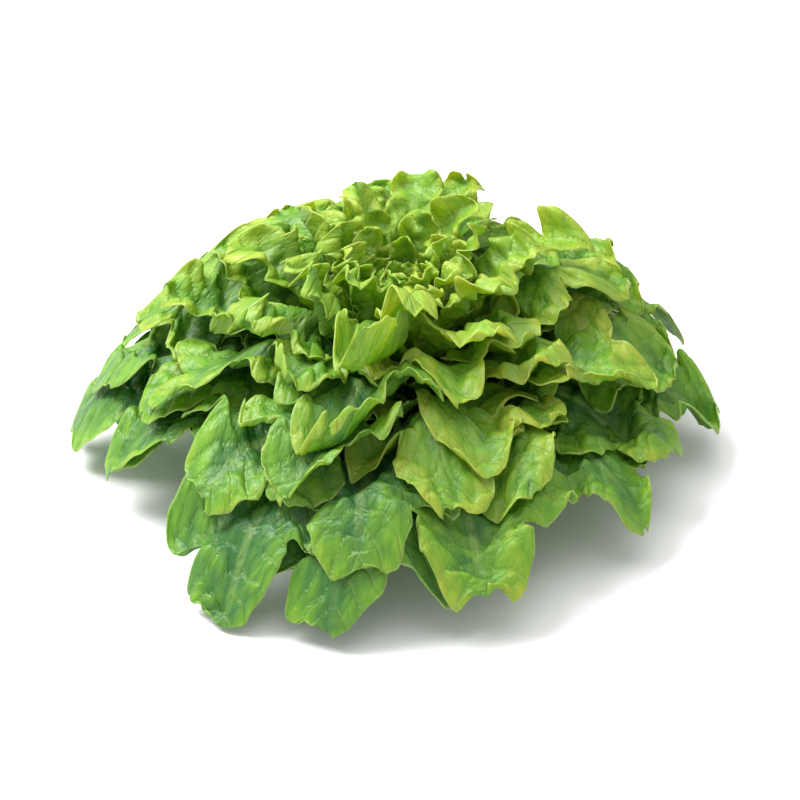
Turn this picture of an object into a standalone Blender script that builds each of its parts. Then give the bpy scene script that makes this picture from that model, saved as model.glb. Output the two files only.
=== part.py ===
# Butterhead lettuce of the oak-leaf form: an open head of lobed leaves on a short cut stem.
# Metres, +Z up. The origin is the centre of the stem's cut face, which lies in the plane z = 0.
# Every leaf lies on one family of arcs that never cross, from upright in the heart to spread at the rim.
import math

import bmesh
import bpy
import numpy as np
from mathutils.bvhtree import BVHTree

# Driving dimensions
SEED = 11
LEAVES = 84                  # all the leaves, the outermost first
OWN_LEAVES = 46              # this many stand as pieces of their own, the rest form the heart
WIDE_LEAVES = 18             # the outermost, cut with the most points
BLADE = 0.0008               # thickness of a blade
AIR = 0.00015                # air kept on each face of a blade
EASED = 0.7                  # share of a bend left each time it would cross
NUDGE = 0.0004               # and how far the two leaves then part
LEAST_ROLL = 0.5             # share of its rolls that a leaf folded onto itself keeps at least
CLEAR = 0.0006               # least way from a leaf's middle face to its half of a gap
LONGEST = 0.160              # run of the outermost leaf from its root
SHORTEST = 0.060             # run of the innermost leaf
STRAIGHT = 0.050             # run of a leaf before it arches outwards
ROOT_RADIUS = 0.016          # where the outermost leaf leaves the stem
ROOT_LOW = 0.006
ROOT_HIGH = 0.036            # where the innermost leaf leaves the stem
LOBE = 0.0147                # radius of a side lobe on a full-size leaf
END_LOBE = 0.0176            # radius of the end lobe on a full-size leaf
LOBE_OUT = 0.0245            # distance of a side lobe's centre from the rib
FORWARD = 0.42               # how far the side lobes point forward, per unit of width past the end lobe's
CROWD = 0.15                 # how much closer the leaves stand at the front, in radians of turn
CURL = 68                    # bend of a fully curled lobe, per metre
MOST_BEND = 0.030            # the most that a free margin leaves its arc
EASE = 0.012                 # distance over which a margin becomes free of its neighbour
KNOT = 0.0100                # least run between two rows of points on a full-size leaf
FLOOR_EASE = 0.008           # height under which hanging tips turn along the surface
STEM_CUT = 0.0125            # radius of the stem's cut face
CORE = 0.0105                # radius of the solid middle of the heart

GOLDEN = math.pi * (3 - math.sqrt(5))


def smooth(x):
    x = np.clip(x, 0, 1)
    return x * x * (3 - 2 * x)


# The family of arcs

def place(run, open_):
    """Radius and height of the point at a run along the arc of this openness, 0 inmost and 1 outermost."""
    rise = np.radians(87 - 48 * np.maximum(open_, 0) ** 0.9)
    low = 0.8 + 4.0 * open_
    high = 3.5 + 14.5 * smooth(open_ / 0.5) - 4.5 * smooth((open_ - 0.5) / 0.6)
    turn = rise - low * np.minimum(run, STRAIGHT)
    end = turn - high * np.maximum(run - STRAIGHT, 0)
    root = 0.003 + (ROOT_RADIUS - 0.003) * open_
    root_z = ROOT_HIGH - (ROOT_HIGH - ROOT_LOW) * open_
    radius = root + (np.sin(rise) - np.sin(turn)) / low + (np.sin(turn) - np.sin(end)) / high
    height = root_z + (np.cos(turn) - np.cos(rise)) / low + (np.cos(end) - np.cos(turn)) / high
    return radius, height


def spread(run, open_):
    """Distance between arcs per unit of openness."""
    step = 1e-3
    r0, z0 = place(run, open_ - step)
    r1, z1 = place(run, open_ + step)
    return np.hypot(r1 - r0, z1 - z0) / (2 * step)


# How far the spread leaves reach, by azimuth in degrees: long at the front left, short at the front right
REACH = [(-180, 1.00), (-150, 0.96), (-120, 1.06), (-90, 1.00), (-75, 0.97), (-60, 0.87), (-45, 0.79),
         (-30, 0.83), (-15, 0.95), (10, 1.00), (60, 0.98), (120, 0.96), (180, 1.00)]


def reach(azimuth, open_):
    turn = (math.degrees(azimuth) + 180) % 360 - 180
    return 1 + (np.interp(turn, *zip(*REACH)) - 1) * smooth(open_ / 0.7)


# Waves that the leaves share, so that they nest in one another: turns, lean, twist, start, height
DRAW = np.random.default_rng(3)
SHARED = [(m, DRAW.uniform(-lean, lean), DRAW.uniform(-2.5, 2.5), DRAW.uniform(0, 6.28), high)
          for m, lean, high in ((1, 30, 0.028), (2, 30, 0.024), (3, 40, 0.024), (5, 70, 0.026), (7, 90, 0.028),
                                (9, 90, 0.028), (12, 110, 0.016), (15, 140, 0.009), (19, 170, 0.005))]


def shared_wave(theta, run, open_):
    total = 0
    for turns, lean, twist, start, high in SHARED:
        total = total + high * np.sin(turns * theta + lean * run + twist * open_ + start)
    return total * smooth(run / 0.10) * (0.2 + 0.8 * smooth(open_ / 0.5))


class Leaf:
    """One leaf: its place in the head, its outline with round lobes, and how its lobes bend."""

    def __init__(self, rank, draw):
        self.open = (1 - ((rank + 0.5) / LEAVES) ** 1.3) ** 1.4
        t = self.open
        turn = rank * GOLDEN + draw.uniform(-0.16, 0.16)
        self.azimuth = -math.pi / 2 + turn - CROWD * math.sin(turn)
        self.length = (SHORTEST + 0.022 * smooth(t / 0.35) + (LONGEST - SHORTEST - 0.022) * t)
        self.length *= draw.uniform(0.90, 1.07) * reach(self.azimuth, t)
        self.size = (0.41 + 0.09 * smooth(t / 0.3) + 0.50 * smooth((t - 0.15) / 0.55)
                     + 0.14 * smooth((t - 0.75) / 0.2)) * draw.uniform(0.9, 1.1)
        self.sway = draw.uniform(-0.016, 0.016) * t
        self.end = END_LOBE * self.size * draw.uniform(0.88, 1.15)
        self.lobes = [[], []]
        small = rank >= OWN_LEAVES
        radius = LOBE * self.size * draw.uniform(0.85, 1.15)
        at = self.length - self.end - (self.end + radius) * draw.uniform(0.60, 0.80) * (0.9 if small else 1)
        out = LOBE_OUT * self.size * (0.5 if small else 1)
        sign = draw.choice([-1, 1])
        for pair in range(1 if small else 4):
            if at < 0.28 * self.length:
                break
            for side in (0, 1):
                lobe = (at, out * draw.uniform(0.8, 1.2), radius, sign * draw.uniform(0.5, 1.2))
                self.lobes[side].append(lobe)
                sign = -sign if draw.uniform() < 0.6 else sign
            at -= radius * draw.uniform(2.0, 2.4)
            radius *= 0.9
            out *= 0.78
        self.end_bend = draw.uniform(-1.2, 0.9)
        self.twist = draw.uniform(-0.45, 0.45)
        self.cup = draw.uniform(-0.3, 0.9)
        self.ruffle = draw.uniform(0, 2 * math.pi, 4)
        self.fold = draw.uniform(-0.15, 0.45)

    def half_width(self, run, side):
        neck = self.size * (0.0065 + 0.0095 * smooth((run / self.length - 0.14) / 0.26))
        width = np.where(run < self.length - self.end, neck, 0)
        cap = np.clip(self.end ** 2 - (run - self.length + self.end) ** 2, 0, None)
        width = np.maximum(width, 1.12 * np.sqrt(cap))
        for at, out, radius, bend in self.lobes[side]:
            cap = np.clip(radius ** 2 - (run - at) ** 2, 0, None)
            lobe = out * smooth(cap / (0.7 * radius ** 2)) + np.sqrt(cap)
            width = np.maximum(width, np.where(cap > 0, lobe, 0))
        return width

    def middle(self, run):
        return self.sway * (run / self.length) ** 2

    def forward(self, x):
        return FORWARD * np.maximum(np.abs(x) - self.end, 0)


def margin_points(leaf, count):
    """Runs where the leaf's outline and arch turn the most, and the way along its margin."""
    run = np.linspace(0, leaf.length - 0.05 * leaf.end, 900)
    width = (leaf.half_width(run, 0) + leaf.half_width(run, 1)) / 2
    radius, height = place(run, np.full(run.shape, leaf.open))
    path = np.stack([width, 1.6 * radius, 1.6 * height], 1)
    way = np.concatenate([[0], np.cumsum(np.hypot(np.diff(width), np.diff(run)))])
    apart = int(KNOT * leaf.size / (run[1] - run[0]))
    kept = [0, len(run) - 1]
    while len(kept) < count + 1:
        worst, where = -1.0, None
        for a, b in zip(kept[:-1], kept[1:]):
            if b - a < 2 * apart + 2:
                continue
            chord = path[b] - path[a]
            part = np.clip(((path[a:b] - path[a]) @ chord) / (chord @ chord), 0, 1)
            off = np.linalg.norm(path[a:b] - path[a] - part[:, None] * chord, axis=1)
            i = int(off.argmax())
            i = min(max(i, apart), b - a - apart)
            if off[i] > worst:
                worst, where = off[i], a + i
        if where is None:
            a, b = max(zip(kept[:-1], kept[1:]), key=lambda pair: pair[1] - pair[0])
            where = (a + b) // 2
        kept = sorted(kept + [where])
    return run[kept], way[kept]


def room(leaf, leaves, theta, run):
    """How far the leaf may move in and out at each point, in openness, clear of the leaves around it."""
    scale = spread(run, np.full(run.shape, leaf.open))
    most = MOST_BEND / scale
    inner, outer = most.copy(), most.copy()
    mine = 0.15 + smooth((run / leaf.length - 0.3) / 0.5)
    for other in leaves:
        if other is leaf:
            continue
        radius, _ = place(run, other.open)
        turn = (theta - other.azimuth + math.pi) % (2 * math.pi) - math.pi
        across = turn * radius - other.middle(run)
        level = run - other.forward(across)
        level = np.clip(level, 0, None)
        inside = np.clip(level, 0, other.length)
        width = np.where(across < 0, other.half_width(inside, 0), other.half_width(inside, 1))
        beyond = np.maximum(np.abs(across) - width, level - other.length)
        free = smooth(beyond / EASE)
        theirs = 0.15 + smooth((level / other.length - 0.3) / 0.5)
        allowed = abs(other.open - leaf.open) * mine / (mine + theirs) - CLEAR / scale + free * most
        if other.open < leaf.open:
            inner = np.minimum(inner, allowed)
        else:
            outer = np.minimum(outer, allowed)
    return np.maximum(inner, 1e-4), np.maximum(outer, 1e-4)


def roll(past, bend):
    """Way along and lift of a blade rolled up, or raised and then rolled down, from where it leaves the leaf."""
    curl = np.where(np.abs(bend) < 0.05, 0.05, bend) * CURL
    start = np.where(curl < 0, np.minimum(0.6 * np.abs(bend), 0.6), 0)
    angle = np.clip(start + curl * past, -1.7, 1.7)
    left = past - (angle - start) / curl
    return ((np.sin(angle) - np.sin(start)) / curl + left * np.cos(angle),
            (np.cos(start) - np.cos(angle)) / curl + left * np.sin(angle))


def domes(leaf, x, run, side):
    """Every lobe domed or cupped about its own centre: the new places, and how far each point rises."""
    size = leaf.size
    new_x, new_run, lift = np.abs(x), run.copy(), np.zeros(x.shape)
    for one in (0, 1):
        for at, out, radius, bend in leaf.lobes[one]:
            along, beyond = run - at, np.maximum(np.abs(x) - 0.75 * out, 0)
            far = np.maximum(np.hypot(along, beyond), 1e-6)
            past = np.maximum(far - 0.2 * radius, 0)
            rolled, up = roll(past, bend / size)
            share = np.where(side == one, 1 - smooth((np.abs(along) / radius - 0.6) / 0.7), 0)
            share = share * smooth((np.abs(x) - 0.003 * size) / (0.6 * out))
            kept = (far - past + rolled) / far - 1
            new_x, new_run = new_x + share * beyond * kept, new_run + share * along * kept
            lift = lift + share * up
    centre = leaf.length - leaf.end
    beyond = np.maximum(run - centre, 0)
    far = np.maximum(np.hypot(x, beyond), 1e-6)
    past = np.maximum(far - 0.2 * leaf.end, 0)
    rolled, up = roll(past, leaf.end_bend / size)
    share = smooth((run - centre + 1.3 * leaf.end) / (1.3 * leaf.end))
    kept = (far - past + rolled) / far - 1
    new_x, new_run = new_x + share * np.abs(x) * kept, new_run + share * beyond * kept
    return np.sign(x) * new_x, new_run, lift + share * up


def depth(corners):
    """How far a triangle is from a line: its area over its longest side, twice."""
    sides = np.roll(corners, 1, 0) - corners
    return np.linalg.norm(np.cross(sides[0], sides[1])) / np.linalg.norm(sides, axis=1).max()


def agree(points, pair):
    """Whether two triangles of a cell face the same way, and how full the thinner one is."""
    normals = [np.cross(points[b] - points[a], points[c] - points[a]) for a, b, c in pair]
    return normals[0] @ normals[1] > 0, min(depth(points[list(face)]) for face in pair)


class Sheet:
    """A leaf's middle face as a grid, from root to end and from margin to margin."""

    def __init__(self, leaf, leaves, along, across):
        at, far = margin_points(leaf, along)
        place_across = np.linspace(-1, 1, across + 1)
        x = np.zeros((along + 1, across + 1))
        for j, v in enumerate(place_across):
            x[:, j] = v * leaf.half_width(at, 0 if v < 0 else 1)
        run, way = (np.broadcast_to(line[:, None], x.shape) for line in (at, far))
        v = np.broadcast_to(np.abs(place_across), x.shape)
        share = run / run[-1]
        self.leaf, self.flat = leaf, (x, run + leaf.forward(x))
        x, straight, lift = domes(leaf, x, run, np.where(x > 0, 1, 0))
        run = straight + leaf.forward(x)
        self.rolled = (x, run)
        radius, _ = place(run, leaf.open)
        theta = leaf.azimuth + (x + leaf.middle(run)) / radius
        scale = spread(run, np.full(run.shape, leaf.open))
        up = 0.5 + 0.5 * np.tanh(lift / 0.003)
        start = np.where(x > 0, leaf.ruffle[0], leaf.ruffle[1])
        ruffle = np.sin(2 * math.pi * way / (0.026 * leaf.size) + start)
        lift = lift + 0.0025 * leaf.size * ruffle * v ** 2.5 * smooth(share / 0.3)
        lift = lift + (leaf.twist * x + leaf.fold * np.abs(x)) * smooth(share / 0.5)
        inner, outer = room(leaf, leaves, theta, run)
        wanted = -lift / scale
        self.shift = np.where(wanted < 0, -inner * np.tanh(-wanted / inner), outer * np.tanh(wanted / outer))
        free = inner ** up * outer ** (1 - up)
        self.kept = free / (free + 0.006 * leaf.size / scale)
        self.roll = 1.0
        self.eased = np.ones(x.shape)
        self.nudge = np.zeros(x.shape)
        self.step = NUDGE / scale
        self.split()

    def split(self):
        """Cut every cell along the diagonal that doesn't fold it, and then that leaves the fuller triangles."""
        points = self.points()
        rows, columns = self.shift.shape
        number = np.arange(rows * columns).reshape(rows, columns)
        self.faces = []
        for i in range(rows - 1):
            for j in range(columns - 1):
                a, b = int(number[i, j]), int(number[i, j + 1])
                c, d = int(number[i + 1, j + 1]), int(number[i + 1, j])
                splits = ([(a, b, d), (b, c, d)], [(a, b, c), (a, c, d)])
                self.faces += max(splits, key=lambda pair: agree(points, pair))

    def points(self):
        kept = self.kept * self.roll
        x, run = (flat + (rolled - flat) * kept for flat, rolled in zip(self.flat, self.rolled))
        radius, _ = place(run, self.leaf.open)
        theta = self.leaf.azimuth + (x + self.leaf.middle(run)) / radius
        wave = shared_wave(theta, run, self.leaf.open)
        radius, height = place(run, self.leaf.open + wave + self.shift * self.roll * self.eased + self.nudge)
        height = np.where(height > FLOOR_EASE, height,
                          FLOOR_EASE * np.exp((height - FLOOR_EASE) / FLOOR_EASE))
        height = np.maximum(height, BLADE)
        return np.stack([radius * np.cos(theta), radius * np.sin(theta), height], -1).reshape(-1, 3)

    def walls(self):
        """Both faces of the blade with a little air round it, for finding what it crosses."""
        points = self.points()
        faces = np.array(self.faces)
        normal = np.cross(points[faces[:, 1]] - points[faces[:, 0]], points[faces[:, 2]] - points[faces[:, 0]])
        normal /= np.linalg.norm(normal, axis=1)[:, None]
        out = np.zeros(points.shape)
        for corner in range(3):
            one = points[faces[:, corner - 1]] - points[faces[:, corner]]
            two = points[faces[:, corner - 2]] - points[faces[:, corner]]
            size = np.linalg.norm(one, axis=1) * np.linalg.norm(two, axis=1)
            angle = np.arccos(np.clip((one * two).sum(1) / size, -1, 1))
            np.add.at(out, faces[:, corner], normal * angle[:, None])
        out /= np.maximum(np.linalg.norm(out, axis=1), 1e-12)[:, None]
        both = np.concatenate([points + out * (BLADE / 2 + AIR), points - out * (BLADE / 2 + AIR)])
        count = len(points)
        walls = self.faces + [(c + count, b + count, a + count) for a, b, c in self.faces]
        rows, columns = self.shift.shape
        number = np.arange(count).reshape(rows, columns)
        rim = list(number[0, :-1]) + list(number[:-1, -1]) + list(number[-1, :0:-1]) + list(number[:0:-1, 0])
        for a, b in zip(rim, rim[1:] + rim[:1]):
            walls += [(int(b), int(a), int(a) + count), (int(b), int(a) + count, int(b) + count)]
        return both, walls


def bend_clear(sheets, rounds):
    """Ease the bends back and part the leaves where two would cross, a little at a time."""
    kept = {}
    for turn in range(rounds):
        for number, sheet in enumerate(sheets):
            if number not in kept:
                points, faces = sheet.walls()
                kept[number] = (BVHTree.FromPolygons(points.tolist(), faces), faces,
                                points.min(0), points.max(0), len(points) // 2)
        crossing, own, less = 0, 0, {}
        for number, (tree, faces, low, high, count) in kept.items():
            for face_a, face_b in tree.overlap(tree):
                if not set(faces[face_a]) & set(faces[face_b]):
                    own += 1
                    if sheets[number].roll > LEAST_ROLL:
                        less.setdefault((number, 0), set()).update(n % count for n in faces[face_a])
        for a in range(OWN_LEAVES if turn else len(sheets)):
            for b in range(a + 1, len(sheets)):
                if (kept[a][2] > kept[b][3]).any() or (kept[b][2] > kept[a][3]).any():
                    continue
                hits = kept[a][0].overlap(kept[b][0])
                if hits:
                    crossing += 1
                for face_a, face_b in hits:
                    for number, way, face in ((a, 1, kept[a][1][face_a]), (b, -1, kept[b][1][face_b])):
                        less.setdefault((number, way), set()).update(n % kept[number][4] for n in face)
        print("crossing", crossing, "folded onto themselves", own)
        if not less:
            break
        for (number, way), points in less.items():
            points = sorted(points)
            sheet = sheets[number]
            if way:
                sheet.eased.reshape(-1)[points] *= EASED
                sheet.nudge.reshape(-1)[points] += way * sheet.step.reshape(-1)[points]
            else:
                sheet.roll *= 0.85
            sheet.split()
            kept.pop(number, None)


# Blender helpers

def material(name, colour, roughness):
    made = bpy.data.materials.new(name)
    made.use_nodes = True
    shader = made.node_tree.nodes["Principled BSDF"]
    shader.inputs["Base Color"].default_value = (*colour, 1)
    shader.inputs["Roughness"].default_value = roughness
    return made


def blade(name, sheet, collection):
    """A closed blade: the sheet split into triangles, then given its thickness."""
    mesh = bpy.data.meshes.new(name)
    mesh.from_pydata(sheet.points().tolist(), [], sheet.faces)
    made = bpy.data.objects.new(name, mesh)
    collection.objects.link(made)
    solid = made.modifiers.new("thickness", "SOLIDIFY")
    solid.thickness = BLADE
    solid.offset = 0
    solid.use_even_offset = False
    return made


def turned(name, profile, sides, collection):
    """A closed solid turned round Z from (radius, height) points, the first and last on the axis."""
    points, faces = [(0, 0, profile[0][1])], []
    for radius, height in profile[1:-1]:
        for n in range(sides):
            angle = 2 * math.pi * n / sides
            points.append((radius * math.cos(angle), radius * math.sin(angle), height))
    points.append((0, 0, profile[-1][1]))
    top, rings = len(points) - 1, len(profile) - 2
    for n in range(sides):
        m = (n + 1) % sides
        faces.append((0, 1 + m, 1 + n))
        for ring in range(rings - 1):
            a, b = 1 + ring * sides, 1 + (ring + 1) * sides
            faces.append((a + n, a + m, b + m, b + n))
        last = 1 + (rings - 1) * sides
        faces.append((last + n, last + m, top))
    mesh = bpy.data.meshes.new(name)
    mesh.from_pydata(points, [], faces)
    made = bpy.data.objects.new(name, mesh)
    collection.objects.link(made)
    return made


def keep_whole_body(made):
    """Fill the pockets that joining sealed and drop loose scraps, so that one closed body is left."""
    work = bmesh.new()
    work.from_mesh(made.data)
    bmesh.ops.triangulate(work, faces=work.faces[:])
    bmesh.ops.dissolve_degenerate(work, edges=work.edges[:], dist=2e-6)
    work.faces.ensure_lookup_table()
    work.faces.index_update()
    group = [-1] * len(work.faces)
    bodies = []
    for face in work.faces:
        if group[face.index] >= 0:
            continue
        stack, body = [face], []
        group[face.index] = len(bodies)
        while stack:
            here = stack.pop()
            body.append(here)
            for edge in here.edges:
                for there in edge.link_faces:
                    if group[there.index] < 0:
                        group[there.index] = len(bodies)
                        stack.append(there)
        bodies.append(body)
    bodies.sort(key=len)
    print("bodies", [len(body) for body in bodies])
    bmesh.ops.delete(work, geom=[face for body in bodies[:-1] for face in body], context="FACES")
    work.to_mesh(made.data)
    work.free()


# An empty scene, with a collection for the head and one for what is joined into the heart

for old in list(bpy.data.objects):
    bpy.data.objects.remove(old)
head = bpy.data.collections.new("butterhead_lettuce")
joined = bpy.data.collections.new("heart_leaves")
for collection in (head, joined):
    bpy.context.scene.collection.children.link(collection)

draw = np.random.default_rng(SEED)
leaves = [Leaf(rank, draw) for rank in range(LEAVES)]
sheets = []
for rank, leaf in enumerate(leaves):
    cut = (13, 4) if rank < WIDE_LEAVES else (10, 4) if rank < OWN_LEAVES else (5, 3)
    sheets.append(Sheet(leaf, leaves, *cut))
bend_clear(sheets, 30)

# Outer and middle leaves, each a piece of its own

for rank in range(OWN_LEAVES):
    name = "leaf_%02d" % (rank + 1)
    made = blade(name, sheets[rank], head)
    made.data.materials.append(material(name, (0.20, 0.42, 0.06), 0.45))

# Heart: a solid middle with the small inner leaves joined to it

split = (leaves[OWN_LEAVES].open + leaves[OWN_LEAVES - 1].open) / 2
low_z = ROOT_HIGH - (ROOT_HIGH - ROOT_LOW) * split
low_r = 0.003 + (ROOT_RADIUS - 0.003) * split
heart = turned("heart", [(0, low_z), (low_r - 0.0004, low_z + 0.0004), (low_r + 0.0002, low_z + 0.003),
                         (CORE * 0.75, 0.036), (CORE, 0.048), (CORE * 0.8, 0.058), (0, 0.064)], 12, head)
heart.data.materials.append(material("heart", (0.30, 0.50, 0.08), 0.45))
for rank in range(OWN_LEAVES, LEAVES):
    blade("inner_%02d" % (rank + 1), sheets[rank], joined)
union = heart.modifiers.new("joined leaves", "BOOLEAN")
union.operation = "UNION"
union.operand_type = "COLLECTION"
union.collection = joined
union.solver = "MANIFOLD"
bpy.context.view_layer.update()
bpy.context.view_layer.objects.active = heart
heart.select_set(True)
bpy.ops.object.modifier_apply(modifier=union.name)
for old in list(joined.objects):
    bpy.data.objects.remove(old)
keep_whole_body(heart)

# Stem: a short stalk under the leaves' roots, cut flat where it rests

stem = turned("stem", [(0, 0), (STEM_CUT, 0), (ROOT_RADIUS - 0.001, 0.0035),
                       (ROOT_RADIUS - 0.0015, ROOT_LOW - 0.0005),
                       (low_r - 0.0009, low_z - 0.0012), (0, low_z - 0.0012)], 24, head)
stem.data.materials.append(material("stem", (0.72, 0.74, 0.50), 0.6))

joined.hide_render = True
print("leaves", len(head.objects) - 2, "heart faces", len(heart.data.polygons))
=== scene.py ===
# %% [markdown]
# # A head of oak-leaf butterhead lettuce
#
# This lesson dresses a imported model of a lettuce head. The head is loose and open: wide lobed leaves
# spread at the rim, arched leaves stand over them, and small waved leaves crowd the middle.
#
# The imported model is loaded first. It fixes where everything sits, in metres, with the origin at the
# centre of the stem's cut face.

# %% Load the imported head
import math
import bpy
import numpy as np
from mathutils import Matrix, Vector


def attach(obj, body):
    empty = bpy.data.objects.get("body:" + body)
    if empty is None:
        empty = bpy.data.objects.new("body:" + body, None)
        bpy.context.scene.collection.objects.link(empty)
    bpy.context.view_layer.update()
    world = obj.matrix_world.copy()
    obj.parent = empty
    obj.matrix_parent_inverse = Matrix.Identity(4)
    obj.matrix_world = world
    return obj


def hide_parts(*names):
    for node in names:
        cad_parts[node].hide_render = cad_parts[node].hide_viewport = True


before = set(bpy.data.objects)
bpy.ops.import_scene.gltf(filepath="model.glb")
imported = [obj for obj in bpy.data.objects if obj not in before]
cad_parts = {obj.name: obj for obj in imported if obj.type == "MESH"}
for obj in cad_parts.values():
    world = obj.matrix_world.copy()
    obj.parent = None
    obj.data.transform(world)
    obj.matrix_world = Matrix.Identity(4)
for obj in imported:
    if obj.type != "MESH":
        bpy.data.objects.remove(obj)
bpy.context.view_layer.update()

# %% [markdown]
# ## One family of arcs
#
# The leaves of a real head start as one spiral of sheets wrapped round each other, and then they open.
# So every leaf here lies on one family of arcs that never cross: upright in the heart, spread at the rim.
# A leaf is then described by three things: how open it is, which way it faces, and its outline.

# %% The arcs that leaves follow
LEAVES = 84
OWN_LEAVES = 46
LONGEST, SHORTEST = 0.160, 0.060
STRAIGHT = 0.050
ROOT_RADIUS, ROOT_LOW, ROOT_HIGH = 0.016, 0.006, 0.036
GOLDEN = math.pi * (3 - math.sqrt(5))


def smooth(x):
    x = np.clip(x, 0, 1)
    return x * x * (3 - 2 * x)


def place(run, open_):
    """Radius and height at a run along the arc of this openness, 0 inmost and 1 outermost."""
    rise = np.radians(87 - 48 * np.maximum(open_, 0) ** 0.9)
    low = 0.8 + 4.0 * open_
    high = 3.5 + 14.5 * smooth(open_ / 0.5) - 4.5 * smooth((open_ - 0.5) / 0.6)
    turn = rise - low * np.minimum(run, STRAIGHT)
    end = turn - high * np.maximum(run - STRAIGHT, 0)
    root = 0.003 + (ROOT_RADIUS - 0.003) * open_
    root_z = ROOT_HIGH - (ROOT_HIGH - ROOT_LOW) * open_
    radius = root + (np.sin(rise) - np.sin(turn)) / low + (np.sin(turn) - np.sin(end)) / high
    height = root_z + (np.cos(turn) - np.cos(rise)) / low + (np.cos(end) - np.cos(turn)) / high
    return radius, height


def spread(run, open_):
    step = 1e-3
    r0, z0 = place(run, open_ - step)
    r1, z1 = place(run, open_ + step)
    return np.hypot(r1 - r0, z1 - z0) / (2 * step)


REACH = [(-180, 1.00), (-150, 0.96), (-120, 1.06), (-90, 1.00), (-75, 0.97), (-60, 0.87), (-45, 0.79),
         (-30, 0.83), (-15, 0.95), (10, 1.00), (60, 0.98), (120, 0.96), (180, 1.00)]


def reach(azimuth, open_):
    turn = (math.degrees(azimuth) + 180) % 360 - 180
    return 1 + (np.interp(turn, *zip(*REACH)) - 1) * smooth(open_ / 0.7)


DRAW = np.random.default_rng(3)
SHARED = [(m, DRAW.uniform(-lean, lean), DRAW.uniform(-2.5, 2.5), DRAW.uniform(0, 6.28), high)
          for m, lean, high in ((1, 30, 0.028), (2, 30, 0.024), (3, 40, 0.024), (5, 70, 0.026),
                                (7, 90, 0.028), (9, 90, 0.028), (12, 110, 0.022), (15, 140, 0.016),
                                (19, 170, 0.012))]


def shared_wave(theta, run, open_):
    total = 0
    for turns, lean, twist, start, high in SHARED:
        total = total + high * np.sin(turns * theta + lean * run + twist * open_ + start)
    return total * smooth(run / 0.10) * (0.2 + 0.8 * smooth(open_ / 0.5))


print("rim of the widest arc", place(np.array(LONGEST), np.array(1.0)))

# %% [markdown]
# ## The outline of a leaf
#
# An oak-leaf lettuce leaf has a narrow neck, two to four pairs of round side lobes and a larger end
# lobe. Each lobe bends its own way, which is what makes the head look ruffled.

# %% One leaf's place and outline
LOBE, END_LOBE, LOBE_OUT, FORWARD, CROWD = 0.0147, 0.0176, 0.0245, 0.42, 0.15


class Leaf:
    def __init__(self, rank, draw):
        self.rank = rank
        self.open = (1 - ((rank + 0.5) / LEAVES) ** 1.3) ** 1.4
        t = self.open
        turn = rank * GOLDEN + draw.uniform(-0.16, 0.16)
        self.azimuth = -math.pi / 2 + turn - CROWD * math.sin(turn)
        self.length = (SHORTEST + 0.022 * smooth(t / 0.35) + (LONGEST - SHORTEST - 0.022) * t)
        self.length *= draw.uniform(0.90, 1.07) * reach(self.azimuth, t)
        self.size = (0.41 + 0.09 * smooth(t / 0.3) + 0.50 * smooth((t - 0.15) / 0.55)
                     + 0.14 * smooth((t - 0.75) / 0.2)) * draw.uniform(0.9, 1.1)
        self.sway = draw.uniform(-0.016, 0.016) * t
        self.end = END_LOBE * self.size * draw.uniform(0.88, 1.15)
        self.lobes = [[], []]
        small = rank >= OWN_LEAVES
        radius = LOBE * self.size * draw.uniform(0.85, 1.15)
        at = self.length - self.end - (self.end + radius) * draw.uniform(0.60, 0.80) * (0.9 if small else 1)
        out = LOBE_OUT * self.size * (0.5 if small else 1)
        sign = draw.choice([-1, 1])
        for pair in range(1 if small else 4):
            if at < 0.28 * self.length:
                break
            for side in (0, 1):
                lobe = (at, out * draw.uniform(0.8, 1.2), radius, sign * draw.uniform(0.5, 1.2))
                self.lobes[side].append(lobe)
                sign = -sign if draw.uniform() < 0.6 else sign
            at -= radius * draw.uniform(2.0, 2.4)
            radius *= 0.9
            out *= 0.78
        self.end_bend = draw.uniform(-1.2, 0.9)
        self.twist = draw.uniform(-0.45, 0.45)
        draw.uniform(-0.3, 0.9)  # used for nothing, but the draws after it depend on it
        self.ruffle = draw.uniform(0, 2 * math.pi, 4)
        self.fold = draw.uniform(-0.15, 0.45)

    def half_width(self, run, side):
        neck = self.size * (0.0065 + 0.0095 * smooth((run / self.length - 0.14) / 0.26))
        width = np.where(run < self.length - self.end, neck, 0)
        cap = np.clip(self.end ** 2 - (run - self.length + self.end) ** 2, 0, None)
        width = np.maximum(width, 1.12 * np.sqrt(cap))
        for at, out, radius, bend in self.lobes[side]:
            cap = np.clip(radius ** 2 - (run - at) ** 2, 0, None)
            lobe = out * smooth(cap / (0.7 * radius ** 2)) + np.sqrt(cap)
            width = np.maximum(width, np.where(cap > 0, lobe, 0))
        return width

    def forward(self, x):
        return FORWARD * np.maximum(np.abs(x) - self.end, 0)

    def middle(self, run):
        return self.sway * (run / self.length) ** 2

    def margin(self, count):
        run = np.linspace(0, self.length * 0.9995, 2400)
        width = (self.half_width(run, 0) + self.half_width(run, 1)) / 2
        way = np.concatenate([[0], np.cumsum(np.hypot(np.diff(width), np.diff(run)))])
        at = np.linspace(0, way[-1], count + 1)
        return np.interp(at, way, run), at


draw = np.random.default_rng(11)
leaves = [Leaf(rank, draw) for rank in range(LEAVES)]
print("leaves", len(leaves), "outermost", round(leaves[0].length, 3), "inmost", round(leaves[-1].length, 3))

# %% [markdown]
# ## Room to bend
#
# A margin may curl freely where no other leaf lies over or under it, and only about halfway to the next
# leaf where one does. This keeps the leaves nested, but not clear of each other: it takes a neighbour's
# outline as it lies before it bends, and swellings and blisters are laid on afterwards. Neighbours still
# cut into each other in many places.

# %% How far each point may move
MOST_BEND, EASE, CLEAR = 0.030, 0.012, 0.0006


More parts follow.
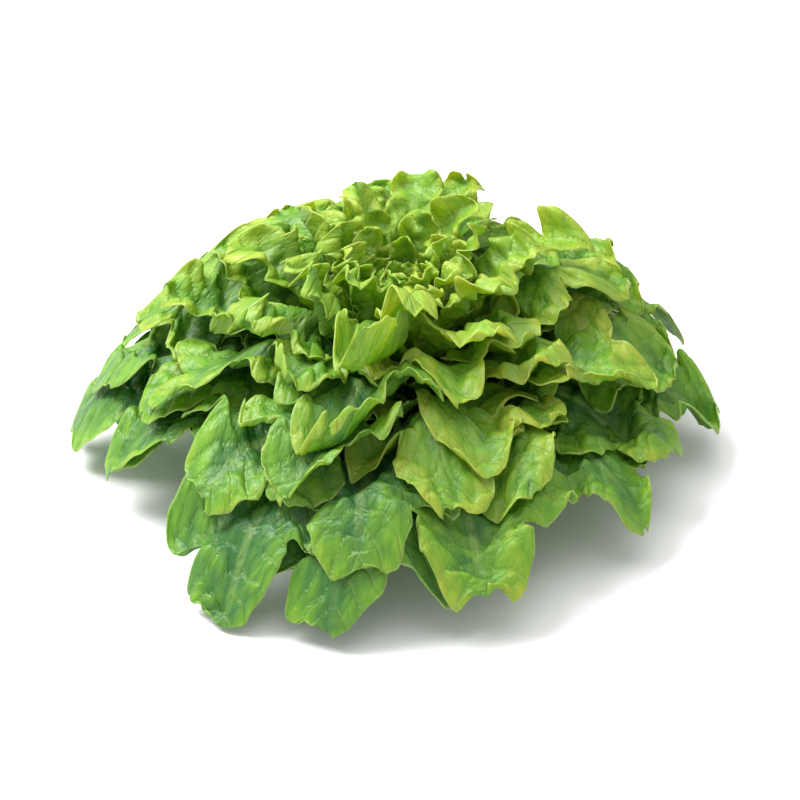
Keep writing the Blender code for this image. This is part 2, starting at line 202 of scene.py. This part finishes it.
def room(leaf, theta, run):
    scale = spread(run, np.full(run.shape, leaf.open))
    most = MOST_BEND / scale
    inner, outer = most.copy(), most.copy()
    mine = 0.15 + smooth((run / leaf.length - 0.3) / 0.5)
    for other in leaves:
        if other is leaf:
            continue
        radius, _ = place(run, other.open)
        turn = (theta - other.azimuth + math.pi) % (2 * math.pi) - math.pi
        across = turn * radius - other.middle(run)
        level = run - other.forward(across)
        level = np.clip(level, 0, None)
        inside = np.clip(level, 0, other.length)
        width = np.where(across < 0, other.half_width(inside, 0), other.half_width(inside, 1))
        beyond = np.maximum(np.abs(across) - width, level - other.length)
        free = smooth(beyond / EASE)
        theirs = 0.15 + smooth((level / other.length - 0.3) / 0.5)
        allowed = abs(other.open - leaf.open) * mine / (mine + theirs) - CLEAR / scale + free * most
        if other.open < leaf.open:
            inner = np.minimum(inner, allowed)
        else:
            outer = np.minimum(outer, allowed)
    return np.maximum(inner, 1e-4), np.maximum(outer, 1e-4)


widest = leaves[0]
near_tip = np.array([0.9 * widest.length])
print("room near the outermost tip, inwards and outwards", room(widest, np.array([widest.azimuth]), near_tip))

# %% [markdown]
# ## The blade's surface
#
# The relief of a lettuce blade comes in sizes: whole lobes bend, margins ruffle, the blade swells between
# its side veins and blisters over its small ones. Only the finest quilting is left to the material. Two
# helpers come first: noise for everything uneven, and the path of a blade that rolls up or down.

# %% Uneven and rolled
def noise(a, b, seed):
    """Smooth lattice noise between -1 and 1 over two coordinates."""
    table = np.random.default_rng(seed).uniform(-1, 1, (64, 64))
    ia, ib = np.floor(a).astype(int), np.floor(b).astype(int)
    fa, fb = smooth(a - ia), smooth(b - ib)
    v00, v10 = table[ia % 64, ib % 64], table[(ia + 1) % 64, ib % 64]
    v01, v11 = table[ia % 64, (ib + 1) % 64], table[(ia + 1) % 64, (ib + 1) % 64]
    return (v00 * (1 - fa) + v10 * fa) * (1 - fb) + (v01 * (1 - fa) + v11 * fa) * fb


CURL = 68


def roll(past, bend):
    """Way along and lift of a blade rolled up, or raised and then rolled down, past where it starts."""
    curl = np.where(np.abs(bend) < 0.05, 0.05, bend) * CURL
    start = np.where(curl < 0, np.minimum(0.6 * np.abs(bend), 0.6), 0)
    angle = np.clip(start + curl * past, -1.7, 1.7)
    left = past - (angle - start) / curl
    return ((np.sin(angle) - np.sin(start)) / curl + left * np.cos(angle),
            (np.cos(start) - np.cos(angle)) / curl + left * np.sin(angle))


print("a blade rolled over 20 mm: way along and lift", roll(np.array(0.020), np.array(1.0)))

# %% [markdown]
# Young lobes grow faster at their rims than in their middles, so each one domes or cups on its own. A
# lobe is rolled about its own centre, and the end lobe about the centre of the leaf's tip.

# %% Lobes domed or cupped
def domes(leaf, x, run, side):
    """Every lobe domed or cupped about its own centre: the new places, and how far each point rises."""
    size = leaf.size
    new_x, new_run, lift = np.abs(x), run.copy(), np.zeros(x.shape)
    for one in (0, 1):
        for at, out, radius, bend in leaf.lobes[one]:
            along, beyond = run - at, np.maximum(np.abs(x) - 0.75 * out, 0)
            far = np.maximum(np.hypot(along, beyond), 1e-6)
            past = np.maximum(far - 0.2 * radius, 0)
            rolled, up = roll(past, bend / size)
            share = np.where(side == one, 1 - smooth((np.abs(along) / radius - 0.6) / 0.7), 0)
            share = share * smooth((np.abs(x) - 0.003 * size) / (0.6 * out))
            kept = (far - past + rolled) / far - 1
            new_x, new_run = new_x + share * beyond * kept, new_run + share * along * kept
            lift = lift + share * up
    centre = leaf.length - leaf.end
    beyond = np.maximum(run - centre, 0)
    far = np.maximum(np.hypot(x, beyond), 1e-6)
    past = np.maximum(far - 0.2 * leaf.end, 0)
    rolled, up = roll(past, leaf.end_bend / size)
    share = smooth((run - centre + 1.3 * leaf.end) / (1.3 * leaf.end))
    kept = (far - past + rolled) / far - 1
    new_x, new_run = new_x + share * np.abs(x) * kept, new_run + share * beyond * kept
    return np.sign(x) * new_x, new_run, lift + share * up


tip = domes(widest, np.zeros(1), np.array([widest.length]), np.zeros(1, dtype=int))
print("the outermost tip rises by", tip[2])

# %% [markdown]
# All the sizes of relief now meet in one place. The outline gets its teeth, the lobes bend, margins and
# blade ruffle as far as there is room, and then the swellings and blisters are laid on.

# %% A leaf's surface, point by point
def surface(leaf, along, across):
    at, far = leaf.margin(along)
    lines = np.linspace(-1, 1, across + 1)
    lines = np.sign(lines) * np.abs(lines) ** 0.9
    x, run = np.zeros((2, along + 1, across + 1))
    size = leaf.size
    share = at / leaf.length
    for j, v in enumerate(lines):
        side = 0 if v < 0 else 1
        width = leaf.half_width(at, side)
        slope = np.gradient(width, at)
        scallop = np.abs(np.sin(math.pi * far / (0.0165 * size ** 0.6) + leaf.ruffle[2 + side]))
        tooth = 0.0009 * size ** 0.7 * (scallop ** 0.8 - 0.7)
        tooth = tooth + 0.0006 * size ** 0.5 * noise(far / 0.0075, far * 0 + 3.3 * side, 100 + leaf.rank)
        tooth = tooth + 0.0005 * noise(far / 0.0034, far * 0 + 1.7 * side, 200 + leaf.rank)
        tooth = tooth * smooth((share - 0.3) / 0.2) * smooth(width / 0.008) * abs(v) ** 2
        x[:, j] = v * width + np.sign(v) * tooth / np.hypot(1, slope)
        run[:, j] = at - tooth * slope / np.hypot(1, slope)
    way = np.broadcast_to(far[:, None], x.shape)
    side = np.where(x > 0, 1, 0)
    v = np.broadcast_to(np.abs(lines), x.shape)
    share = run / leaf.length
    flat_x, flat_run = x, run + leaf.forward(x)
    x, straight, lift = domes(leaf, x, run, side)
    run = straight + leaf.forward(x)
    radius, _ = place(run, leaf.open)
    theta = leaf.azimuth + (x + leaf.middle(run)) / radius
    scale = spread(run, np.full(run.shape, leaf.open))
    up = 0.5 + 0.5 * np.tanh(lift / 0.003)
    frill = 1 + 0.8 * (1 - smooth((leaf.open - 0.25) / 0.4))
    start = np.where(x > 0, leaf.ruffle[0], leaf.ruffle[1])
    ruffle = np.sin(2 * math.pi * way / (0.030 * size) + start)
    fine = noise(way / (0.0085 * size ** 0.5), 5.0 * side + 0.35 * v, 300 + leaf.rank)
    lift = lift + 0.0034 * frill * size * ruffle * v ** 2.2 * smooth(share / 0.3)
    lift = lift + (leaf.twist * x + leaf.fold * np.abs(x)) * smooth(share / 0.5)
    lift = lift + 0.0034 * frill * size ** 0.6 * fine * v ** 3 * smooth((share - 0.2) / 0.3)
    buckle = noise(flat_run / 0.019, flat_x / 0.019, 600 + leaf.rank)
    lift = lift + 0.0060 * size ** 0.5 * buckle * smooth((share - 0.1) / 0.3)
    inner, outer = room(leaf, theta, run)
    wanted = -lift / scale
    shift = np.where(wanted < 0, -inner * np.tanh(-wanted / inner), outer * np.tanh(wanted / outer))
    free = inner ** up * outer ** (1 - up)
    kept = free / (free + 0.0045 * size / scale)
    x = flat_x + (x - flat_x) * kept
    rolled = flat_run + (run - flat_run) * kept
    radius, _ = place(rolled, leaf.open)
    theta = leaf.azimuth + (x + leaf.middle(rolled)) / radius
    # swelling between side veins, and blisters
    x, run = flat_x, flat_run
    uneven = noise(run / 0.02, x / 0.02, 400 + leaf.rank)
    vein = (run - 1.15 * np.abs(x)) / (0.0115 * size ** 0.5) + 0.25 * uneven
    swell = np.abs(np.sin(math.pi * vein)) ** 0.7 * smooth(np.abs(x) / 0.006)
    lumps = 1.6 * np.abs(noise(run / 0.0080, x / 0.0080, 500 + leaf.rank)) - 0.5
    relief = 0.0015 * (swell - 0.6) + 0.0030 * lumps * (1 - 0.75 * v ** 3)
    relief = relief * smooth((share - 0.15) / 0.25)
    open_ = leaf.open + shared_wave(theta, rolled, leaf.open) + shift - relief / scale
    radius, height = place(rolled, open_)
    height = np.where(height > 0.008, height, 0.008 * np.exp((height - 0.008) / 0.008))
    height = np.maximum(height, 0.0006)
    points = np.stack([radius * np.cos(theta), radius * np.sin(theta), height], -1)
    groove = np.abs(vein - np.round(vein))
    return points, x, run, v, share, groove


spans = np.ptp(surface(widest, 40, 12)[0].reshape(-1, 3), axis=0)
print("the outermost leaf spans", spans)

# %% [markdown]
# ## From surface to leaf
#
# Each leaf starts as Blender's grid primitive with the right number of cells. Its points are put on
# the leaf's surface, and Solidify gives the blade its thickness.

# %% Build a leaf from a grid
BLADE = 0.0005


def leaf_piece(name, leaf, along, across, material):
    bpy.ops.object.select_all(action="DESELECT")
    bpy.ops.mesh.primitive_grid_add(x_subdivisions=across, y_subdivisions=along, size=1)
    piece = bpy.context.object
    piece.name = name
    mesh = piece.data
    points, x, run, v, share, groove = surface(leaf, along, across)
    # each leaf's own random tone, plus a darkening of the outer leaves: partly their older green, partly
    # painted shade
    tone_and_shade = np.full(x.shape, 0.5 * ((leaf.rank * 0.618) % 1.0) + 0.5 * smooth(leaf.rank / 36))
    mesh.vertices.foreach_set("co", points.reshape(-1, 3).ravel())
    for label, values in (("across", x), ("run", run), ("edge", v), ("share", share), ("vein", groove),
                          ("tone_and_shade", tone_and_shade)):
        made = mesh.attributes.new(label, "FLOAT", "POINT")
        made.data.foreach_set("value", np.ascontiguousarray(values, dtype=np.float32).ravel())
    mesh.update()
    mesh.materials.append(material)
    solid = piece.modifiers.new("thickness", "SOLIDIFY")
    solid.thickness = BLADE
    solid.offset = 0
    bpy.ops.object.modifier_apply(modifier=solid.name)
    bpy.ops.object.shade_smooth()
    return piece


print("blades are", BLADE * 1000, "mm thick")

# %% [markdown]
# ## A fresh leaf's finish
#
# A lettuce blade is thin and wet inside, so light comes through it: a shader that scatters light to the
# far side is mixed with the shiny skin. The blade is yellowest towards its tips and margin, and darker
# green along its middle; it darkens towards its base, deep in the head, partly its own colour and partly
# painted shade. Outer leaves are deeper green, partly as old leaves are and partly as painted shade. It is
# pale along the rib and the side veins, and its thin margin carries a painted bright edge. Quilting between
# the small veins is a pattern of cells that follows the leaf, because it reads the leaf's own coordinates;
# each cell is painted lighter in its middle and darker at its rim, a painted highlight and shade on the
# blisters.

# %% Leaf shader
def leaf_finish(name, dark, middle, bright, through):
    made = bpy.data.materials.new(name)
    made.use_nodes = True
    tree = made.node_tree
    tree.nodes.clear()
    link = tree.links.new

    def node(kind, **sockets):
        one = tree.nodes.new("ShaderNode" + kind)
        for socket, value in sockets.items():
            target = one.inputs[socket.replace("_", " ")]
            if isinstance(value, bpy.types.NodeSocket):
                link(value, target)
            else:
                target.default_value = value
        return one

    def maths(operation, a, b=0.0, c=0.0):
        one = tree.nodes.new("ShaderNodeMath")
        one.operation = operation
        for target, value in zip(one.inputs, (a, b, c)):
            if isinstance(value, bpy.types.NodeSocket):
                link(value, target)
            else:
                target.default_value = value
        return one.outputs[0]

    def kept(label):
        one = tree.nodes.new("ShaderNodeAttribute")
        one.attribute_name = label
        return one.outputs["Fac"]

    def band(value, low, high):
        one = tree.nodes.new("ShaderNodeMapRange")
        one.interpolation_type = "SMOOTHSTEP"
        link(value, one.inputs["Value"])
        one.inputs["From Min"].default_value, one.inputs["From Max"].default_value = low, high
        return one.outputs["Result"]

    def blend(part, a, b, way="MIX"):
        one = tree.nodes.new("ShaderNodeMix")
        one.data_type, one.blend_type = "RGBA", way
        for label, value in (("Factor", part), ("A", a), ("B", b)):
            kind = "VALUE" if label == "Factor" else "RGBA"
            target = [i for i in one.inputs if i.name == label and i.type == kind][0]
            if isinstance(value, bpy.types.NodeSocket):
                link(value, target)
            else:
                target.default_value = value
        return [o for o in one.outputs if o.type == "RGBA"][0]

    across, run, edge = kept("across"), kept("run"), kept("edge")
    share, vein, tone_and_shade = kept("share"), kept("vein"), kept("tone_and_shade")
    spot = node("CombineXYZ", X=across, Y=run, Z=tone_and_shade).outputs[0]
    patch = node("TexNoise", Vector=spot, Scale=45.0, Detail=3.0).outputs[0]
    mottle = node("TexNoise", Vector=spot, Scale=130.0, Detail=2.0).outputs[0]
    cells = tree.nodes.new("ShaderNodeTexVoronoi")
    cells.feature = "F1"
    link(spot, cells.inputs["Vector"])
    cells.inputs["Scale"].default_value = 190
    fine = tree.nodes.new("ShaderNodeTexVoronoi")
    fine.feature = "DISTANCE_TO_EDGE"
    link(spot, fine.inputs["Vector"])
    fine.inputs["Scale"].default_value = 420
    # brightness runs up the leaf and out to its margin, the darker base deep in the head partly painted
    # shade;
    # each leaf has its own tone, deeper in old outer leaves, which is partly painted shade
    # tips lighter and base darker: partly the leaf's own colour, partly painted shade deep in the head
    level = maths("MULTIPLY_ADD", edge, 0.34, maths("MULTIPLY", share, 0.46))
    level = maths("ADD", level, maths("MULTIPLY_ADD", patch, 0.55, -0.30))
    # outer leaves darker: partly the deeper green of old leaves, partly painted shade on the low leaves away
    # from the lamp
    level = maths("ADD", level, maths("MULTIPLY_ADD", tone_and_shade, 0.42, -0.26))
    level = maths("ADD", level, maths("MULTIPLY_ADD", mottle, 0.32, -0.16))
    # each quilting cell lighter in its raised middle and darker at its sunken rim: painted highlight and
    # shade on the blisters
    level = maths("ADD", level, maths("MULTIPLY_ADD", cells.outputs["Distance"], -0.26, 0.11))
    ramp = node("ValToRGB", Fac=level)
    stops = ramp.color_ramp.elements
    stops[0].position, stops[0].color = 0.15, (*dark, 1)
    stops[1].position, stops[1].color = 0.95, (*bright, 1)
    ramp.color_ramp.elements.new(0.5).color = (*middle, 1)
    colour = ramp.outputs[0]
    rib = maths("SUBTRACT", 1, band(maths("ABSOLUTE", across), 0.0006, 0.0030))
    rib = maths("MULTIPLY", rib, maths("SUBTRACT", 1.05, share))
    side = maths("MULTIPLY", maths("SUBTRACT", 1, band(vein, 0.02, 0.10)), 0.20)
    # a painted bright edge along the thin margin, where it catches the light
    rim = maths("MULTIPLY", band(edge, 0.965, 0.995), 0.55)
    pale = maths("MAXIMUM", maths("MAXIMUM", rib, side), rim)
    colour = blend(pale, colour, (0.52, 0.70, 0.22, 1))
    bump = tree.nodes.new("ShaderNodeBump")
    height = maths("MULTIPLY", fine.outputs["Distance"], 0.35)
    height = maths("MULTIPLY_ADD", cells.outputs["Distance"], -0.9, height)
    height = maths("ADD", height, maths("MULTIPLY", band(vein, 0.0, 0.16), 0.45))
    link(height, bump.inputs["Height"])
    bump.inputs["Strength"].default_value = 0.65
    bump.inputs["Distance"].default_value = 0.0018
    skin = node("BsdfPrincipled", Base_Color=colour, Roughness=0.42, Normal=bump.outputs[0])
    skin.inputs["Specular IOR Level"].default_value = 0.6
    through_blade = blend(1.0, colour, (1.50, 1.24, 0.58, 1), "MULTIPLY")
    glow = node("BsdfTranslucent", Color=through_blade, Normal=bump.outputs[0])
    mix = node("MixShader", Fac=through)
    link(skin.outputs[0], mix.inputs[1])
    link(glow.outputs[0], mix.inputs[2])
    link(mix.outputs[0], tree.nodes.new("ShaderNodeOutputMaterial").inputs[0])
    return made


outer_green = leaf_finish("outer leaf", dark=(0.056, 0.212, 0.042), middle=(0.202, 0.436, 0.030),
                          bright=(0.500, 0.575, 0.060), through=0.42)
heart_green = leaf_finish("heart leaf", dark=(0.105, 0.300, 0.042), middle=(0.270, 0.490, 0.036),
                          bright=(0.510, 0.620, 0.075), through=0.45)
print("finishes", outer_green.name, "and", heart_green.name, len(outer_green.node_tree.nodes), "nodes each")

# %% [markdown]
# ## The outer and middle leaves
#
# These are the forty-six leaves that a cook would pull off one by one. Each packed leaf is a coarse
# plate of the right form. A fine blade on the same arc takes its place: the same lobes, rolls and waves,
# with the frills, teeth and swellings that a plate of a few hundred triangles can't hold. They could be
# sculpted by hand, but one rule for all of them keeps forty-six leaves nested alike. It doesn't keep them
# clear of each other: many still cut into a neighbour. The wide leaves get more rows, because their
# margins are longer.

# %% Outer and middle leaves
for leaf in leaves[:OWN_LEAVES]:
    name = "leaf_%02d" % (leaf.rank + 1)
    cells = (136, 28) if leaf.rank < 26 else (108, 26)
    piece = leaf_piece("blade_" + name[5:], leaf, *cells, outer_green)
    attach(piece, "root")
    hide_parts(name)
print("blades", OWN_LEAVES, "the last with", len(piece.data.polygons), "faces")

# %% [markdown]
# ## The heart
#
# The heart is where the youngest leaves crowd round the growing tip, short, pale and tightly frilled.
# They are never picked one by one, so they are modelled as one piece. Each is made in the same way as
# an outer leaf, with a paler finish, and then they are joined, which costs the scene only one object.

# %% The heart
young = [leaf_piece("inner_%02d" % leaf.rank, leaf, 84, 14, heart_green) for leaf in leaves[OWN_LEAVES:]]
bpy.ops.object.select_all(action="DESELECT")
for piece in young:
    piece.select_set(True)
bpy.context.view_layer.objects.active = young[0]
bpy.ops.object.join()
heart = bpy.context.object
heart.name = "heart_leaves"
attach(heart, "root")
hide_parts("heart")
print("heart", len(young), "leaves,", len(heart.data.polygons), "faces")

# %% [markdown]
# ## The stem
#
# The head stands on the stump of its stem, cut flat with a knife. The imported solid already has its shape,
# so it only needs a finish: pale and watery, with a fine grain of greener flecks and a dull shine.
# The grain reads the object's own coordinates, so it stays on the stump from any side.

# %% Stem finish
stalk = bpy.data.materials.new("cut stem")
stalk.use_nodes = True
tree = stalk.node_tree
skin = tree.nodes["Principled BSDF"]
skin.inputs["Roughness"].default_value = 0.5
skin.inputs["Subsurface Weight"].default_value = 0.2
skin.inputs["Subsurface Scale"].default_value = 0.004
where = tree.nodes.new("ShaderNodeTexCoord")
grain = tree.nodes.new("ShaderNodeTexNoise")
grain.inputs["Scale"].default_value = 160
grain.inputs["Detail"].default_value = 3
shade = tree.nodes.new("ShaderNodeValToRGB")
shade.color_ramp.elements[0].position, shade.color_ramp.elements[0].color = 0.35, (0.42, 0.52, 0.20, 1)
shade.color_ramp.elements[1].position, shade.color_ramp.elements[1].color = 0.65, (0.70, 0.72, 0.46, 1)
tree.links.new(where.outputs["Object"], grain.inputs["Vector"])
tree.links.new(grain.outputs[0], shade.inputs[0])
tree.links.new(shade.outputs[0], skin.inputs["Base Color"])
stump = bpy.data.objects["stem"]
stump.data.materials.clear()
stump.data.materials.append(stalk)
print("stem finish on", stump.name, [round(side, 4) for side in stump.dimensions])

# %% [markdown]
# ## Floor, light and camera
#
# The head lies on a plain pale floor in a bright studio. White surroundings fill the shade between the
# leaves, a soft lamp high at the back left lets their margins glow, and a broad lamp above rounds them.
# The floor is a plain plane.

# %% Floor
bpy.ops.object.select_all(action="DESELECT")
bpy.ops.mesh.primitive_plane_add(size=8)
floor = bpy.context.object
floor.name = "floor"
paper = bpy.data.materials.new("floor")
paper.use_nodes = True
paper.node_tree.nodes["Principled BSDF"].inputs["Base Color"].default_value = (0.9, 0.9, 0.9, 1)
paper.node_tree.nodes["Principled BSDF"].inputs["Roughness"].default_value = 0.9
floor.data.materials.append(paper)
print("floor", floor.dimensions[:2])

# %% Light
world = bpy.data.worlds.new("studio")
bpy.context.scene.world = world
world.use_nodes = True
world.node_tree.nodes["Background"].inputs[0].default_value = (1, 1, 1, 1)
world.node_tree.nodes["Background"].inputs[1].default_value = 0.76


def lamp(name, stands, size, power):
    """A square lamp that points at the middle of the head."""
    made = bpy.data.lights.new(name, "AREA")
    made.size, made.energy = size, power
    stand = bpy.data.objects.new(name, made)
    stand.location = stands
    stand.rotation_euler = (Vector((0, 0, 0.05)) - Vector(stands)).to_track_quat("-Z", "Y").to_euler()
    bpy.context.scene.collection.objects.link(stand)
    return stand


for made in (lamp("key", (-0.60, 0.20, 0.95), 0.70, 22), lamp("top", (0.1, 0.1, 1.8), 1.6, 14)):
    print(made.name, "lamp", made.data.energy, "W")

# %% [markdown]
# The camera stands well back with a long lens, 34 degrees above the floor, which is how flat the ring of
# the heart looks. A long lens keeps the near leaves from growing out of scale.

# %% Camera
VIEW_UP, AWAY, AIM = math.radians(34), 1.25, Vector((0, 0, 0.026))
camera = bpy.data.objects.new("camera", bpy.data.cameras.new("camera"))
bpy.context.scene.collection.objects.link(camera)
camera.location = AIM + Vector((0, -math.cos(VIEW_UP), math.sin(VIEW_UP))) * AWAY
camera.rotation_euler = (AIM - camera.location).to_track_quat("-Z", "Y").to_euler()
camera.data.lens = 124
bpy.context.scene.camera = camera
bpy.context.scene.view_settings.view_transform = "Standard"
print("camera", camera.location[:], "lens", camera.data.lens)
